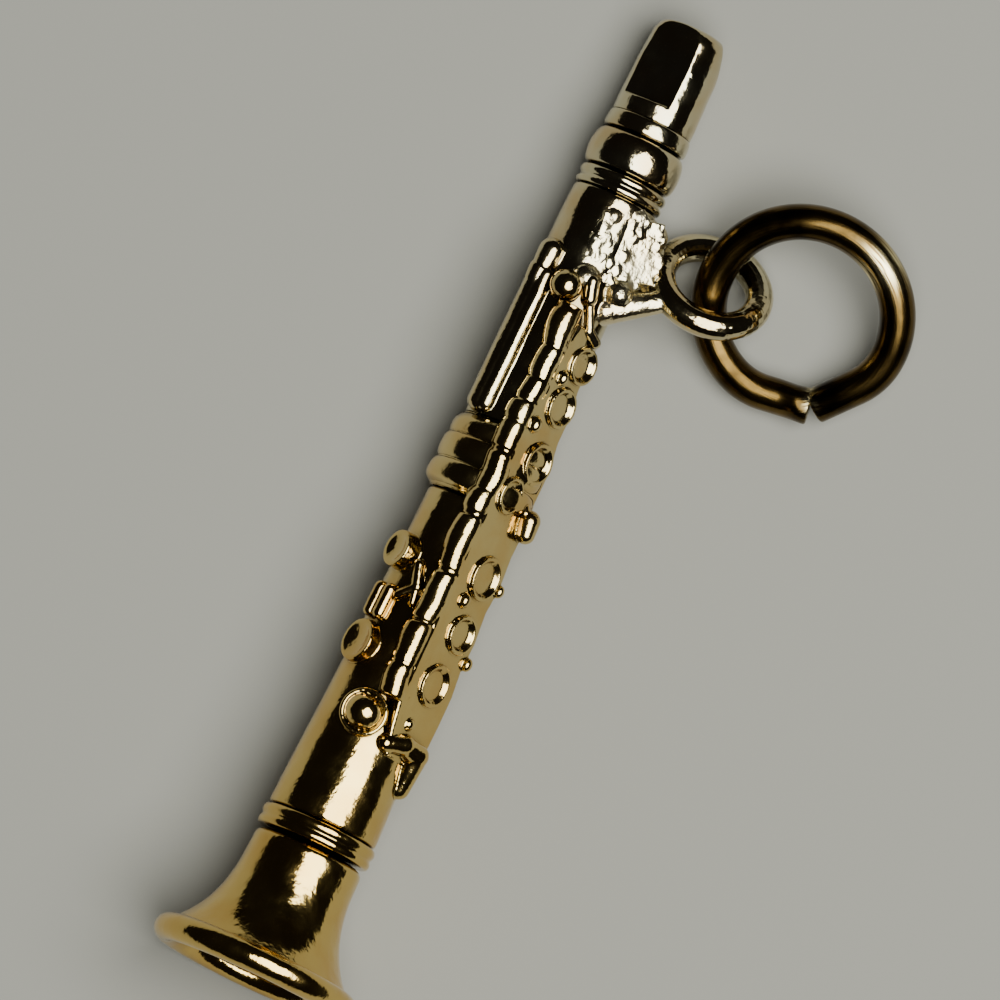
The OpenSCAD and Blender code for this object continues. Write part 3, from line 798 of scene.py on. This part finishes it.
drawn, wear_and_shine = node("Attribute"), node("Attribute")
drawn.attribute_name, wear_and_shine.attribute_name = "drawn", "wear_and_shine"
lines = node("TexNoise", Scale=9.0, Detail=5.0)
cloud = node("TexNoise", Scale=650.0, Detail=5.0)
join(drawn.outputs["Vector"], lines.inputs["Vector"])
join(node("TexCoord").outputs["Object"], cloud.inputs["Vector"])
tarnish_and_shade = node("ValToRGB")
for stop, position, colour in zip(tarnish_and_shade.color_ramp.elements, (0.36, 0.7),
                                  ((0.014, 0.008, 0.0025, 1), (0.15, 0.095, 0.028, 1))):
    stop.position, stop.color = position, colour
join(cloud.outputs["Fac"], tarnish_and_shade.inputs["Fac"])
streak = node("MapRange", From_Min=0.4, From_Max=0.56)
join(lines.outputs["Fac"], streak.inputs["Value"])
patch = node("Math")
patch.operation, patch.use_clamp = "MULTIPLY", True
join(wear_and_shine.outputs["Fac"], patch.inputs[0])
join(streak.outputs["Result"], patch.inputs[1])
# Painted highlight and wear: streaked bright brass is mixed in where the wear attribute is high, near the
# clasp and at the cut ends.
wear_and_shine_mix = node("Mix")
wear_and_shine_mix.data_type = "RGBA"
wear_and_shine_mix.inputs[7].default_value = (0.86, 0.74, 0.42, 1)
join(patch.outputs[0], wear_and_shine_mix.inputs[0])
join(tarnish_and_shade.outputs["Color"], wear_and_shine_mix.inputs[6])
rough = node("MapRange", To_Min=0.12, To_Max=0.28)
join(lines.outputs["Fac"], rough.inputs["Value"])
bump = node("Bump", Strength=0.5, Distance=0.000012)
join(lines.outputs["Fac"], bump.inputs["Height"])
shader = tree.nodes["Principled BSDF"]
shader.inputs["Metallic"].default_value = 1.0
join(wear_and_shine_mix.outputs[2], shader.inputs["Base Color"])
join(rough.outputs["Result"], shader.inputs["Roughness"])
join(bump.outputs["Normal"], shader.inputs["Normal"])

jump_normal = Vector(mounts["jump_ring_loop"]["axis"]).normalized()
jump_up = jump_normal.cross(outwards).normalized()
ring_turn = Matrix.Rotation(math.radians(30), 4, "Z")
ring_place = Matrix.Translation(Vector(mounts["jump_ring_loop"]["pos_m"])) \
    @ Matrix((outwards, jump_up, jump_normal)).transposed().to_4x4() @ ring_turn @ Matrix.Scale(0.001, 4)
mesh = bpy.data.meshes.new("jump_ring")
wire.to_mesh(mesh)
wire.free()
seated("jump_ring", mesh, brass, ["jump_ring"], "jump_ring", ring_place)

# ---- Floor ----
# A plain pale floor, level with what the charm rests on.
floor_mesh = bpy.data.meshes.new("floor")
sheet = bmesh.new()
bmesh.ops.create_grid(sheet, x_segments=1, y_segments=1, size=1.2)
sheet.to_mesh(floor_mesh)
sheet.free()
floor = bpy.data.objects.new("floor", floor_mesh)
bpy.context.scene.collection.objects.link(floor)
pale = bpy.data.materials.new("pale floor")
pale.use_nodes = True
pale.node_tree.nodes["Principled BSDF"].inputs["Base Color"].default_value = (0.27, 0.27, 0.25, 1)
pale.node_tree.nodes["Principled BSDF"].inputs["Roughness"].default_value = 0.95
floor_mesh.materials.append(pale)

# ---- Camera ----
# A long lens almost straight above, leaning a little towards the bell, and turned so that the
# clarinet lies across the view from upper right to lower left.
view_lean = math.radians(6.5)
view_distance = 0.5
view_width = 0.0275
target = LAID @ Vector((14.05, 0.63, 0.0))
lens_way = (upwards * math.cos(view_lean) + along * math.sin(view_lean)).normalized()
flat_along = (along * math.cos(view_lean) - upwards * math.sin(view_lean)).normalized()
view_right = (outwards * 0.905 - flat_along * 0.426).normalized()
view_up = lens_way.cross(view_right)
camera_data = bpy.data.cameras.new("camera")
camera_data.sensor_width = 36
camera_data.lens = 36 * view_distance / view_width
camera_data.clip_start = 0.01
camera_data.clip_end = 5
camera = bpy.data.objects.new("camera", camera_data)
camera.matrix_world = Matrix.Translation(target + lens_way * view_distance) \
    @ Matrix((view_right, view_up, lens_way)).transposed().to_4x4()
bpy.context.scene.collection.objects.link(camera)
bpy.context.scene.camera = camera

# ---- Light ----
# One large soft light above, a little to the upper right of the view, in a dim room.
world = bpy.data.worlds.new("dim room")
world.use_nodes = True
world.node_tree.nodes["Background"].inputs["Color"].default_value = (0.05, 0.045, 0.04, 1)
world.node_tree.nodes["Background"].inputs["Strength"].default_value = 0.2
bpy.context.scene.world = world


def soft_light(name, right, up, near, size, power, colour):
    lamp = bpy.data.lights.new(name, "AREA")
    lamp.shape = "ELLIPSE"
    lamp.size, lamp.size_y = size
    lamp.energy = power
    lamp.color = colour
    holder = bpy.data.objects.new(name, lamp)
    way = (view_right * right + view_up * up + lens_way * near)
    holder.matrix_world = Matrix.Translation(target + way) @ way.to_track_quat("Z", "Y").to_matrix().to_4x4()
    bpy.context.scene.collection.objects.link(holder)


soft_light("softbox", 0.072, -0.022, 0.22, (0.25, 0.225), 1.25, (1.0, 1.0, 0.92))
